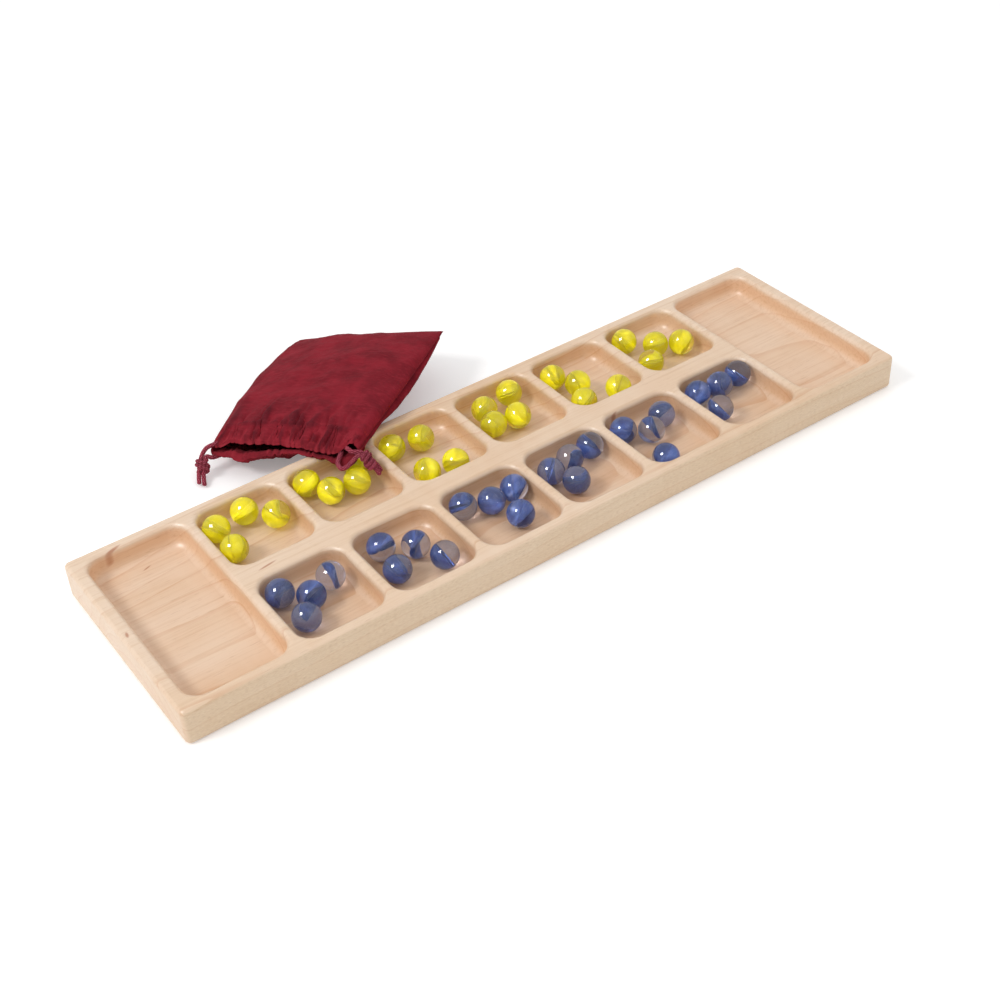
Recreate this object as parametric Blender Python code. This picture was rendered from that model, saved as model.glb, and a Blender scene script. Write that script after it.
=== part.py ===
"""Mancala set: a wooden board with two rows of pits and a store at each end, four glass marbles in every
pit, and the cotton drawstring bag that lies behind the board with one corner of its mouth on the rim.

Metres, +Z up. The origin is the centre of the board's underside, +X runs along the board and +Y to the back.
"""

import math

import bmesh
import bpy
from mathutils import Matrix, Vector

# Board
PITS_PER_ROW = 6
PIT_LENGTH = 0.0507
PIT_WIDTH = 0.0554
PIT_DEPTH = 0.0136
PIT_RIB = 0.0066
CENTRE_RIB = 0.0152
STORE_LENGTH = 0.0575
STORE_RIB = 0.0064
END_MARGIN = 0.0083
SIDE_MARGIN = 0.0070
BOARD_HEIGHT = 0.0220
POCKET_CORNER = 0.0100
POCKET_COVE = 0.0060
RIM_ROUND = 0.0015
EDGE_ROUND = 0.0030
CUT_OVERRUN = 0.0040

# Marbles
MARBLE_RADIUS = 0.0080
SEAT_GAP = 0.0003

# Bag
BAG_MOUTH_WIDTH = 0.0950
BAG_WIDTH = 0.1020
BAG_SIDE_BULGE = 0.0035
BAG_LENGTH = 0.1280
BAG_CLOTH = 0.0012
BAG_CROWN = 0.0150
BAG_BELLY = 0.0220
MOUTH_HALF_HEIGHT = 0.0046
UPPER_LIP_SETBACK = 0.0010
LOWER_LIP_LEAD = 0.0065
MOUTH_X = -0.0972
MOUTH_SETBACK = 0.0136
MOUTH_LEFT_RISE = 0.0130
MOUTH_RIGHT_RISE = 0.0080
CLOSED_LEFT_RISE = 0.0070
CLOSED_RIGHT_RISE = 0.0090
DRAPE_SOFTNESS = 0.0010
DRAPE_LEAD = 0.0080
MARBLE_LEAD = 0.0030
DRAPE_SLOPE = 0.9
BAG_TURN = math.radians(-54.6)

# Drawstrings
CORD_DIAMETER = 0.0024
CORD_GAP = 0.0005
CORD_STEP = 0.0048
KNOT_HALF_WIDTH = 0.0042
KNOT_HALF_THICKNESS = 0.0036
KNOT_HALF_LENGTH = 0.0052

# Facet counts
CORNER_STEPS = 4
COVE_STEPS = 3
RIM_STEPS = 2
EDGE_STEPS = 3
MARBLE_SEGMENTS = 12
MARBLE_RINGS = 8
BAG_AROUND = 28
BAG_ALONG = 14
SETTLE_ROUNDS = 200

BOARD_LENGTH = (
    2 * (END_MARGIN + STORE_LENGTH + STORE_RIB)
    + PITS_PER_ROW * PIT_LENGTH
    + (PITS_PER_ROW - 1) * PIT_RIB
)
BOARD_WIDTH = 2 * (SIDE_MARGIN + PIT_WIDTH) + CENTRE_RIB
STORE_WIDTH = BOARD_WIDTH - 2 * SIDE_MARGIN
FLOOR_HEIGHT = BOARD_HEIGHT - PIT_DEPTH
PIT_PITCH = PIT_LENGTH + PIT_RIB
ROW_OFFSET = (CENTRE_RIB + PIT_WIDTH) / 2

# Where the marbles lie: in each pit, from the left end, as shares of the way from the pit's centre to the
# furthest place that a marble's centre can reach
BACK_ROW_SHARES = [
    [(-0.99, 0.74), (0.16, 0.95), (0.91, 0.27), (-0.99, -0.34)],
    [(-0.86, 0.95), (-0.41, 0.19), (0.51, 0.11), (1.00, 0.86)],
    [(-0.95, 0.82), (0.13, 0.68), (-0.73, -0.80), (0.31, -0.95)],
    [(-0.57, 0.67), (0.69, 0.92), (0.14, -0.22), (-0.82, -0.12)],
    [(-0.90, 0.72), (-0.42, -0.02), (-0.90, -0.89), (0.54, -1.00)],
    [(-0.81, 0.89), (-0.02, 0.13), (0.78, -0.28), (-0.92, -0.58)],
]
FRONT_ROW_SHARES = [
    [(-0.89, 0.88), (-0.17, 0.29), (0.75, 0.65), (-0.78, -0.38)],
    [(-0.66, 0.80), (0.27, 0.29), (-0.82, -0.27), (0.71, -0.58)],
    [(-0.83, 0.84), (0.05, 0.55), (0.99, 0.61), (0.40, -0.44)],
    [(-0.81, 0.56), (0.14, 0.73), (1.00, 0.82), (-0.51, -0.22)],
    [(-0.93, 0.80), (-0.15, 0.32), (0.64, 0.69), (-0.77, -0.99)],
    [(-0.87, 0.83), (0.10, 0.79), (1.00, 0.87), (-0.89, -0.17)],
]

# Routes of the cords' free ends, from the hem to the bare end. Each passes through its knot where the list
# says None, and the knot's own middle and direction follow
LEFT_KNOT = (Vector((-0.1356, 0.1168, 0.0080)), Vector((-0.54, -0.51, -0.67)))
RIGHT_KNOT = (Vector((-0.0689, 0.0368, 0.0280)), Vector((0.45, -0.66, -0.60)))
CORD_ROUTES = {
    "drawstring_left_upper": (
        LEFT_KNOT,
        1,
        [(-0.1247, 0.1211, 0.0161), (-0.1296, 0.1215, 0.0152), None, (-0.1422, 0.1103, 0.0016)],
    ),
    "drawstring_left_lower": (
        LEFT_KNOT,
        -1,
        [(-0.1257, 0.1174, 0.0099), (-0.1288, 0.1172, 0.0108), None, (-0.1404, 0.1069, 0.0016)],
    ),
    "drawstring_right_upper": (
        RIGHT_KNOT,
        -1,
        [(-0.0743, 0.0500, 0.0329), (-0.0740, 0.0448, 0.0325), None, (-0.0639, 0.0316, 0.0205)],
    ),
    "drawstring_right_lower": (
        RIGHT_KNOT,
        1,
        [
            (-0.0785, 0.0511, 0.0280),
            (-0.0834, 0.0474, 0.0272),
            (-0.0847, 0.0412, 0.0262),
            (-0.0798, 0.0395, 0.0272),
            None,
            (-0.0660, 0.0296, 0.0203),
        ],
    ),
}


def make_material(name, colour, roughness, alpha=1.0):
    material = bpy.data.materials.new(name)
    material.use_nodes = True
    shader = material.node_tree.nodes["Principled BSDF"]
    shader.inputs["Base Color"].default_value = (*colour, 1.0)
    shader.inputs["Roughness"].default_value = roughness
    shader.inputs["Metallic"].default_value = 0.0
    shader.inputs["Alpha"].default_value = alpha
    return material


def add_object(name, data, collection, material=None):
    piece = bpy.data.objects.new(name, data)
    collection.objects.link(piece)
    if material is not None:
        data.materials.clear()
        data.materials.append(material)
    return piece


def mesh_from(build, name):
    """Runs a bmesh recipe and returns its mesh, with every face pointing out."""
    bm = bmesh.new()
    build(bm)
    bmesh.ops.recalc_face_normals(bm, faces=bm.faces)
    mesh = bpy.data.meshes.new(name)
    bm.to_mesh(mesh)
    bm.free()
    return mesh


def loft(bm, rings):
    """Joins rings of as many points each with a skin, and caps the first and the last."""
    loops = [[bm.verts.new(point) for point in ring] for ring in rings]
    count = len(loops[0])
    for low, high in zip(loops, loops[1:]):
        for i in range(count):
            j = (i + 1) % count
            bm.faces.new((low[i], low[j], high[j], high[i]))
    bm.faces.new(loops[0])
    bm.faces.new(loops[-1])


# The board
def rounded_ring(length, width, radius, height):
    """Points round a rectangle with arc corners, at one height."""
    points = []
    for quarter, (sx, sy) in enumerate(((1, 1), (-1, 1), (-1, -1), (1, -1))):
        for step in range(CORNER_STEPS + 1):
            angle = (quarter + step / CORNER_STEPS) * math.pi / 2
            x = sx * (length / 2 - radius) + radius * math.cos(angle)
            y = sy * (width / 2 - radius) + radius * math.sin(angle)
            points.append((x, y, height))
    return points


def pocket_cutter(length, width):
    """The tool's path for one pocket: a flat floor, a cove, a straight wall and a rounded rim."""
    levels = []
    for step in range(COVE_STEPS + 1):
        angle = step / COVE_STEPS * math.pi / 2
        inset = POCKET_COVE * (1 - math.sin(angle))
        levels.append((inset, FLOOR_HEIGHT + POCKET_COVE * (1 - math.cos(angle))))
    for step in range(RIM_STEPS + 1):
        angle = step / RIM_STEPS * math.pi / 2
        inset = RIM_ROUND * (math.cos(angle) - 1)
        levels.append((inset, BOARD_HEIGHT + RIM_ROUND * (math.sin(angle) - 1)))
    levels.append((-RIM_ROUND, BOARD_HEIGHT + CUT_OVERRUN))

    def build(bm):
        rings = []
        for inset, height in levels:
            ring = rounded_ring(length - 2 * inset, width - 2 * inset, POCKET_CORNER - inset, height)
            rings.append(ring)
        loft(bm, rings)

    return mesh_from(build, "pocket")


def board_blank():
    """The block before the pockets are cut, with all its edges rounded over."""

    def build(bm):
        size = Matrix.Diagonal((BOARD_LENGTH, BOARD_WIDTH, BOARD_HEIGHT, 1))
        lift = Matrix.Translation((0, 0, BOARD_HEIGHT / 2))
        bmesh.ops.create_cube(bm, size=1, matrix=lift @ size)
        bmesh.ops.bevel(
            bm,
            geom=bm.edges[:],
            offset=EDGE_ROUND,
            segments=EDGE_STEPS,
            profile=0.5,
            affect="EDGES",
        )

    return mesh_from(build, "mancala_board")


def pit_centre(column, row):
    """The middle of a pit: column from the left end, row 1 at the back and -1 in front."""
    return Vector(((column - (PITS_PER_ROW - 1) / 2) * PIT_PITCH, row * ROW_OFFSET, 0))


def make_board(parts, cutters, wood):
    board = add_object("mancala_board", board_blank(), parts, wood)
    pit = pocket_cutter(PIT_LENGTH, PIT_WIDTH)
    store = pocket_cutter(STORE_LENGTH, STORE_WIDTH)
    places = []
    for row in (1, -1):
        for column in range(PITS_PER_ROW):
            places.append((pit, pit_centre(column, row)))
    for side in (-1, 1):
        middle = BOARD_LENGTH / 2 - END_MARGIN - STORE_LENGTH / 2
        places.append((store, Vector((side * middle, 0, 0))))
    for number, (mesh, place) in enumerate(places):
        cutter = add_object(f"pocket_cutter_{number + 1:02d}", mesh, cutters)
        cutter.location = place
        cutter.hide_render = True
        cutter.display_type = "WIRE"
    pockets = board.modifiers.new("pockets", "BOOLEAN")
    pockets.operation = "DIFFERENCE"
    pockets.solver = "EXACT"
    pockets.operand_type = "COLLECTION"
    pockets.collection = cutters
    return board


# The marbles
def keep_inside(x, y):
    """Moves a marble's centre to the nearest place where it clears the pit's walls, cove and corners."""
    reach = max(MARBLE_RADIUS, POCKET_COVE) + SEAT_GAP
    free_x = PIT_LENGTH / 2 - reach
    free_y = PIT_WIDTH / 2 - reach
    x = min(max(x, -free_x), free_x)
    y = min(max(y, -free_y), free_y)
    corner_x = PIT_LENGTH / 2 - POCKET_CORNER
    corner_y = PIT_WIDTH / 2 - POCKET_CORNER
    over_x = abs(x) - corner_x
    over_y = abs(y) - corner_y
    slack = max(POCKET_CORNER - reach, 0)
    if over_x > 0 and over_y > 0 and math.hypot(over_x, over_y) > slack:
        pull = slack / math.hypot(over_x, over_y)
        x = math.copysign(corner_x + over_x * pull, x)
        y = math.copysign(corner_y + over_y * pull, y)
    return x, y


def settle(shares):
    """Turns a pit's shares into places, and rolls apart any marbles that would touch."""
    reach = max(MARBLE_RADIUS, POCKET_COVE) + SEAT_GAP
    places = []
    for share_x, share_y in shares:
        x = share_x * (PIT_LENGTH / 2 - reach)
        y = share_y * (PIT_WIDTH / 2 - reach)
        places.append(keep_inside(x, y))
    apart = 2 * MARBLE_RADIUS + SEAT_GAP
    for _ in range(SETTLE_ROUNDS):
        for i in range(len(places)):
            for j in range(i + 1, len(places)):
                away = Vector(places[j]) - Vector(places[i])
                if away.length >= apart:
                    continue
                push = away.normalized() * (apart - away.length) / 2
                places[i] = keep_inside(*(Vector(places[i]) - push))
                places[j] = keep_inside(*(Vector(places[j]) + push))
    return places


def marble_places(row, row_shares):
    """The centres of one row's marbles, pit by pit from the left end."""
    height = FLOOR_HEIGHT + SEAT_GAP + MARBLE_RADIUS
    places = []
    for column, shares in enumerate(row_shares):
        for x, y in settle(shares):
            places.append(pit_centre(column, row) + Vector((x, y, height)))
    return places


def make_marbles(parts, colour_name, places, glass):
    def build(bm):
        bmesh.ops.create_uvsphere(
            bm, u_segments=MARBLE_SEGMENTS, v_segments=MARBLE_RINGS, radius=MARBLE_RADIUS
        )

    mesh = mesh_from(build, f"{colour_name}_marble")
    mesh.shade_smooth()
    for number, place in enumerate(places):
        marble = add_object(f"{colour_name}_marble_{number + 1:02d}", mesh, parts, glass)
        marble.location = place


# The bag
def bag_frame():
    """The bag's own axes: origin on the floor under the mouth's middle, x along the mouth, y to the fold."""
    place = Vector((MOUTH_X, BOARD_WIDTH / 2 + MOUTH_SETBACK, 0))
    return Matrix.Translation(place) @ Matrix.Rotation(BAG_TURN, 4, "Z")


def seam_height(across, along):
    """Height of the line between upper and lower cloth: across from -1 to 1, along from 0 to 1."""
    left = MOUTH_LEFT_RISE + (CLOSED_LEFT_RISE - MOUTH_LEFT_RISE) * along
    right = BOARD_HEIGHT + MOUTH_RIGHT_RISE + (CLOSED_RIGHT_RISE - MOUTH_RIGHT_RISE) * along
    return left + (right - left) * (1 + across) / 2


def rest_height(x, y, marbles):
    """What the lower cloth lies on: marbles, the rim, the floor, and the slope where it hangs from the rim."""
    world = bag_frame() @ Vector((x, y, 0))
    behind = max(world.y - BOARD_WIDTH / 2 - DRAPE_LEAD, 0)
    height = max(BOARD_HEIGHT + SEAT_GAP - behind * DRAPE_SLOPE, 0)
    for marble in marbles:
        if (world.xy - marble.xy).length < MARBLE_RADIUS + MARBLE_LEAD:
            height = max(height, marble.z + MARBLE_RADIUS + SEAT_GAP)
    return height


def soft_max(a, b):
    return (a + b + math.sqrt((a - b) ** 2 + DRAPE_SOFTNESS**2)) / 2


def fullness(along):
    """How far the bag has swollen between its mouth, 0, and its sewn end, 1."""
    return math.sqrt(max(math.sin(math.pi * min(along, 1) ** 0.8), 0))


def bag_ring(along, shrink, marbles):
    """One closed line round the bag. shrink is the cloth's thickness on the inner skin and 0 outside."""
    ring = []
    half = (BAG_MOUTH_WIDTH + (BAG_WIDTH - BAG_MOUTH_WIDTH) * along) / 2 - shrink * 1.5
    half += BAG_SIDE_BULGE * math.sin(math.pi * along)
    full = fullness(along)
    close = 1 - along**6
    top = MOUTH_HALF_HEIGHT * close + (BAG_CROWN - MOUTH_HALF_HEIGHT) * full - shrink * close
    under = MOUTH_HALF_HEIGHT * close + (BAG_BELLY - MOUTH_HALF_HEIGHT) * full - shrink * close
    for step in range(BAG_AROUND):
        angle = step / BAG_AROUND * 2 * math.pi
        across = math.cos(angle)
        lean = math.copysign(abs(math.sin(angle)) ** 0.75, math.sin(angle))
        x = half * across
        y = along * (BAG_LENGTH - shrink * 2)
        middle = seam_height(across, along)
        if lean >= 0:
            height = middle + top * lean
            y += UPPER_LIP_SETBACK * lean * (1 - along) ** 4
        else:
            height = middle + under * lean
            y += LOWER_LIP_LEAD * lean * (1 - along) ** 4
        height = soft_max(height, rest_height(x, y, marbles) + shrink)
        ring.append((x, y, height))
    return ring


def make_bag(parts, cloth, marbles):
    def build(bm):
        outer = [bag_ring(row / BAG_ALONG, 0, marbles) for row in range(BAG_ALONG + 1)]
        inner = [bag_ring(row / BAG_ALONG, BAG_CLOTH, marbles) for row in range(BAG_ALONG + 1)]
        loops = [[bm.verts.new(point) for point in ring] for ring in reversed(outer)]
        loops += [[bm.verts.new(point) for point in ring] for ring in inner]
        for low, high in zip(loops, loops[1:]):
            for i in range(BAG_AROUND):
                j = (i + 1) % BAG_AROUND
                bm.faces.new((low[i], low[j], high[j], high[i]))
        for loop in (loops[0], loops[-1]):
            for i in range(1, BAG_AROUND // 2):
                average = (loop[i].co + loop[-i].co) / 2
                loop[i].co = average
                loop[-i].co = average
        bmesh.ops.remove_doubles(bm, verts=bm.verts, dist=SEAT_GAP / 100)

    bag = add_object("drawstring_bag", mesh_from(build, "drawstring_bag"), parts, cloth)
    bag.data.shade_smooth()
    bag.matrix_world = bag_frame()
    return bag


# The drawstrings
def knot_axes(knot):
    """The way the cords run through a knot, and the way they lie side by side in it."""
    along = knot[1].normalized()
    beside = along.cross(Vector((0, 0, 1))).normalized()
    return along, beside


def cord_points(knot, side, route):
    """A smooth line through a cord's route, with the straight stretch in its knot filled in."""
    middle = knot[0]
    along, beside = knot_axes(knot)
    shift = side * beside * (CORD_DIAMETER + CORD_GAP) / 2
    points = []
    for point in route:
        if point is None:
            for reach in (-1.05, 0, 1.05):
                points.append(middle + along * KNOT_HALF_LENGTH * reach + shift)
        else:
            points.append(Vector(point))
    smooth = []
    for i in range(len(points) - 1):
        before = points[max(i - 1, 0)]
        start = points[i]
        end = points[i + 1]
        after = points[min(i + 2, len(points) - 1)]
        steps = max(round((end - start).length / CORD_STEP), 1)
        for step in range(steps):
            t = step / steps
            bend = (2 * before - 5 * start + 4 * end - after) * t**2
            twist = (3 * start - before - 3 * end + after) * t**3
            smooth.append((2 * start + (end - before) * t + bend + twist) / 2)
    smooth.append(points[-1])
    return smooth


def make_cord(name, knot, side, route, parts, cotton):
    curve = bpy.data.curves.new(name, "CURVE")
    curve.dimensions = "3D"
    curve.bevel_depth = CORD_DIAMETER / 2
    curve.bevel_resolution = 2
    curve.use_fill_caps = True
    points = cord_points(knot, side, route)
    spline = curve.splines.new("POLY")
    spline.points.add(len(points) - 1)
    for slot, point in zip(spline.points, points):
        slot.co = (*point, 1)
    return add_object(name, curve, parts, cotton)


def make_knot(name, knot, parts, cutters, cotton):
    along, beside = knot_axes(knot)
    across = beside.cross(along)
    turn = Matrix((beside, across, along)).transposed().to_4x4()
    place = Matrix.Translation(knot[0]) @ turn
    half = Vector((KNOT_HALF_WIDTH, KNOT_HALF_THICKNESS, KNOT_HALF_LENGTH))

    def build(bm):
        bmesh.ops.create_uvsphere(
            bm,
            u_segments=MARBLE_SEGMENTS,
            v_segments=MARBLE_RINGS,
            radius=1,
            matrix=Matrix.Diagonal((*half, 1)),
        )

    def build_bore(bm):
        bore = (2 * CORD_DIAMETER + 3 * CORD_GAP, CORD_DIAMETER + 2 * CORD_GAP, 4 * KNOT_HALF_LENGTH)
        bmesh.ops.create_cube(bm, size=1, matrix=Matrix.Diagonal((*bore, 1)))

    piece = add_object(name, mesh_from(build, name), parts, cotton)
    piece.data.shade_smooth()
    piece.matrix_world = place
    bore = add_object(f"{name}_bore", mesh_from(build_bore, f"{name}_bore"), cutters)
    bore.matrix_world = place
    bore.hide_render = True
    bore.display_type = "WIRE"
    cut = piece.modifiers.new("bore", "BOOLEAN")
    cut.operation = "DIFFERENCE"
    cut.solver = "EXACT"
    cut.object = bore
    return piece


def main():
    for item in list(bpy.data.objects):
        bpy.data.objects.remove(item, do_unlink=True)
    collections = {}
    for name in ("mancala_set", "pocket_cutters", "knot_cutters"):
        collections[name] = bpy.data.collections.new(name)
        bpy.context.scene.collection.children.link(collections[name])
    parts = collections["mancala_set"]
    wood = make_material("pale_hardwood", (0.79, 0.63, 0.45), 0.45)
    yellow = make_material("yellow_glass", (0.78, 0.74, 0.02), 0.05, 0.6)
    blue = make_material("blue_glass", (0.08, 0.13, 0.42), 0.05, 0.6)
    cloth = make_material("burgundy_cotton", (0.23, 0.02, 0.035), 0.85)
    cotton = make_material("burgundy_cord", (0.28, 0.03, 0.06), 0.8)

    make_board(parts, collections["pocket_cutters"], wood)
    back_row = marble_places(1, BACK_ROW_SHARES)
    front_row = marble_places(-1, FRONT_ROW_SHARES)
    make_marbles(parts, "yellow", back_row, yellow)
    make_marbles(parts, "blue", front_row, blue)
    make_bag(parts, cloth, back_row)
    for name, (knot, side, route) in CORD_ROUTES.items():
        make_cord(name, knot, side, route, parts, cotton)
    make_knot("knot_left", LEFT_KNOT, parts, collections["knot_cutters"], cotton)
    make_knot("knot_right", RIGHT_KNOT, parts, collections["knot_cutters"], cotton)


main()
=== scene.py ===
"""Looks for the mancala set: lacquered maple board, glass marbles with vanes, and a gathered cotton bag."""

import math

import bmesh
import bpy
import numpy as np
from mathutils import Matrix, Vector


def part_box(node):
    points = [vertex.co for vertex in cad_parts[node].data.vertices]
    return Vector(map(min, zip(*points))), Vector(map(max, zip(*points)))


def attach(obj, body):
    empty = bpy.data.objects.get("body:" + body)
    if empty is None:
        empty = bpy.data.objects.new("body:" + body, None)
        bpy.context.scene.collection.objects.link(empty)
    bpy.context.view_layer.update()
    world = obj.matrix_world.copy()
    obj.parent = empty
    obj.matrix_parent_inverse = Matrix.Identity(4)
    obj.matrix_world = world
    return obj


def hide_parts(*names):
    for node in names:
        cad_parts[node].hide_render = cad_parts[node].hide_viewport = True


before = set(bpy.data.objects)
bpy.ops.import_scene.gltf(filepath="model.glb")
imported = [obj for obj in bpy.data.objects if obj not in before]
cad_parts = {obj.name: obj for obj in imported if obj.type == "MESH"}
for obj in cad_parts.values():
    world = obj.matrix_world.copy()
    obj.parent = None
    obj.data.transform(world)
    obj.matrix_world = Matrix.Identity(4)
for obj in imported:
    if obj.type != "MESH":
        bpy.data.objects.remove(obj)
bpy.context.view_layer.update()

scene = bpy.context.scene

# Camera, solved from the photo in units of the board's width
WIDTH = 0.140
AZ, EL, ROLL = -0.587400, 0.678032, -0.0559055
back = Vector((math.sin(AZ) * math.cos(EL), -math.cos(AZ) * math.cos(EL), math.sin(EL)))
right = Vector((math.cos(AZ), math.sin(AZ), 0))
up = back.cross(right)
cam_x = math.cos(ROLL) * right + math.sin(ROLL) * up
cam_y = -math.sin(ROLL) * right + math.cos(ROLL) * up
place = (Vector((-0.0889924, -0.0715318, 0)) + back * 6.3957101) * WIDTH
camera = bpy.data.objects.new("camera", bpy.data.cameras.new("camera"))
scene.collection.objects.link(camera)
camera.matrix_world = Matrix.Translation(place) @ Matrix((cam_x, cam_y, back)).transposed().to_4x4()
camera.data.sensor_width = 36
camera.data.lens = 1570.240 / 1000 * 36
camera.data.clip_start = 0.01
camera.data.clip_end = 20
scene.camera = camera


# Node helpers
class Nodes:
    """A short way to write a material's nodes. Values given by name go to the shader's own sockets."""

    def __init__(self, name, **values):
        self.material = bpy.data.materials.new(name)
        self.material.use_nodes = True
        self.tree = self.material.node_tree
        self.shader = self.tree.nodes["Principled BSDF"]
        for key, value in values.items():
            self.shader.inputs[key.replace("_", " ")].default_value = value

    def add(self, kind, **settings):
        node = self.tree.nodes.new(kind)
        inputs = settings.pop("inputs", {})
        for key, value in settings.items():
            setattr(node, key, value)
        for key, value in inputs.items():
            self.put(value, node.inputs[key])
        return node

    def put(self, value, socket):
        if isinstance(value, bpy.types.NodeSocket):
            self.tree.links.new(value, socket)
        else:
            socket.default_value = value

    def place(self):
        return self.add("ShaderNodeTexCoord").outputs["Object"]

    def scaled(self, vector, scale, shift=(0, 0, 0)):
        inputs = {"Vector": vector, "Scale": scale, "Location": shift}
        return self.add("ShaderNodeMapping", inputs=inputs).outputs["Vector"]

    def noise(self, vector, scale, detail=3.0, rough=0.5, distortion=0.0):
        inputs = {"Vector": vector, "Scale": scale, "Detail": detail, "Roughness": rough}
        inputs["Distortion"] = distortion
        return self.add("ShaderNodeTexNoise", inputs=inputs).outputs["Fac"]

    def math(self, kind, a, b=0.0):
        return self.add("ShaderNodeMath", operation=kind, inputs={0: a, 1: b}).outputs[0]

    def span(self, value, low, high, to_low=0.0, to_high=1.0, kind="SMOOTHSTEP"):
        inputs = {"Value": value, "From Min": low, "From Max": high, "To Min": to_low, "To Max": to_high}
        node = self.add("ShaderNodeMapRange", interpolation_type=kind, inputs=inputs)
        return node.outputs["Result"]

    def mix(self, share, a, b, kind="MIX"):
        # sockets 6 and 7, and output 2, are the colour ones of this node
        inputs = {"Factor": share, 6: a, 7: b}
        return self.add("ShaderNodeMix", data_type="RGBA", blend_type=kind, inputs=inputs).outputs[2]

    def split(self, vector):
        return self.add("ShaderNodeSeparateXYZ", inputs={0: vector}).outputs

    def bump(self, height, strength, distance):
        inputs = {"Height": height, "Strength": strength, "Distance": distance}
        self.put(self.add("ShaderNodeBump", inputs=inputs).outputs["Normal"], self.shader.inputs["Normal"])


def rgb(r, g, b):
    """A colour as it looks on a screen, 0 to 255, turned to the light that it gives back."""
    shares = (r / 255, g / 255, b / 255)
    linear = [c / 12.92 if c <= 0.04045 else ((c + 0.055) / 1.055) ** 2.4 for c in shares]
    return (*linear, 1.0)


def new_object(name, mesh, material, smooth=True):
    """Puts a mesh in the scene as a piece of one material."""
    mesh.materials.clear()
    mesh.materials.append(material)
    if smooth:
        mesh.shade_smooth()
    piece = bpy.data.objects.new(name, mesh)
    scene.collection.objects.link(piece)
    return piece


def grid_mesh(name, points, wrap_u=False, wrap_v=False):
    """A skin over an array of points with rows u and columns v."""
    rows, columns = points.shape[:2]
    u = np.arange(rows if wrap_u else rows - 1)
    v = np.arange(columns if wrap_v else columns - 1)
    a, b = np.meshgrid(u, v, indexing="ij")
    a2, b2 = (a + 1) % rows, (b + 1) % columns
    faces = np.stack([a * columns + b, a2 * columns + b, a2 * columns + b2, a * columns + b2], -1)
    mesh = bpy.data.meshes.new(name)
    mesh.from_pydata(points.reshape(-1, 3).tolist(), [], faces.reshape(-1, 4).tolist())
    mesh.update()
    return mesh


# Board: sizes as in the CAD, in metres
PIT = (0.0507, 0.0554)
STORE = (0.0575, 0.1260)
LENGTH, HEIGHT, FLOOR = 0.4816, 0.0220, 0.0084
PITCH, ROW = 0.0573, 0.0353
END_RAIL = 0.0083
STORE_X = LENGTH / 2 - END_RAIL - STORE[0] / 2

# Roundings: at a pocket's floor, rim and corners, and at the block's edges and corners
COVE, RIM, POCKET_CORNER = 0.0060, 0.0027, 0.0100
BLOCK_EDGE, BLOCK_CORNER = 0.0023, 0.0034
CORNER_STEPS = 14
ABOVE_TOP = 0.003

# Small brown mineral streaks, where the board shows them: place x and y, half length and half width
FLECKS = [
    (-0.2147, 0.0638, 0.0062, 0.0008),
    (-0.2017, 0.0535, 0.0034, 0.0007),
    (-0.1552, -0.0004, 0.0072, 0.0009),
    (0.0709, -0.0080, 0.0050, 0.0006),
    (-0.2372, -0.0029, 0.0012, 0.0026),
]
FLECK_SLANT = 0.0011

# Middle of the growth rings, behind the board's middle line and under the board, and rings in a metre
RINGS_BACK, RINGS_UNDER, RINGS_PER_METRE = 0.018, 0.062, 105.0


def ring(length, width, radius, height):
    """A rectangle with round corners, as a list of points."""
    points = []
    for quarter, (sx, sy) in enumerate(((1, 1), (-1, 1), (-1, -1), (1, -1))):
        for step in range(CORNER_STEPS + 1):
            angle = (quarter + step / CORNER_STEPS) * math.pi / 2
            x = sx * (length / 2 - radius) + radius * math.cos(angle)
            y = sy * (width / 2 - radius) + radius * math.sin(angle)
            points.append((x, y, height))
    return points


def skin(rings, name):
    """A closed skin over rings of points, one above the other."""
    bm = bmesh.new()
    loops = [[bm.verts.new(p) for p in r] for r in rings]
    for low, high in zip(loops, loops[1:]):
        for i in range(len(low)):
            j = (i + 1) % len(low)
            bm.faces.new((low[i], low[j], high[j], high[i]))
    bm.faces.new(loops[0])
    bm.faces.new(loops[-1])
    bmesh.ops.recalc_face_normals(bm, faces=bm.faces)
    mesh = bpy.data.meshes.new(name)
    bm.to_mesh(mesh)
    bm.free()
    return mesh


def stacked(length, width, corner, levels, name):
    """A block whose levels are given as how far they lie in from the outline, and at what height."""
    return skin([ring(length - 2 * i, width - 2 * i, corner - i, z) for i, z in levels], name)


def pocket(length, width):
    """The form that is cut out of the block: coved at its floor, and flared at its rim."""
    low_arc = np.linspace(0, math.pi / 2, 9)
    high_arc = np.linspace(0, math.pi / 2, 8)
    levels = [(COVE * (1 - math.sin(a)), FLOOR + COVE * (1 - math.cos(a))) for a in low_arc]
    levels += [(RIM * (math.cos(a) - 1), HEIGHT + RIM * (math.sin(a) - 1)) for a in high_arc]
    levels.append((-RIM, HEIGHT + ABOVE_TOP))
    return stacked(length, width, POCKET_CORNER, levels, "pocket")


def board_mesh():
    """The block before its pockets, with round edges."""
    arcs = np.linspace(0, math.pi / 2, 7)
    levels = [(BLOCK_EDGE * (1 - math.sin(a)), BLOCK_EDGE * (1 - math.cos(a))) for a in arcs]
    levels += [(BLOCK_EDGE * (1 - math.cos(a)), HEIGHT - BLOCK_EDGE + BLOCK_EDGE * math.sin(a)) for a in arcs]
    return stacked(LENGTH, WIDTH, BLOCK_CORNER, levels, "board_block")


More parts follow.
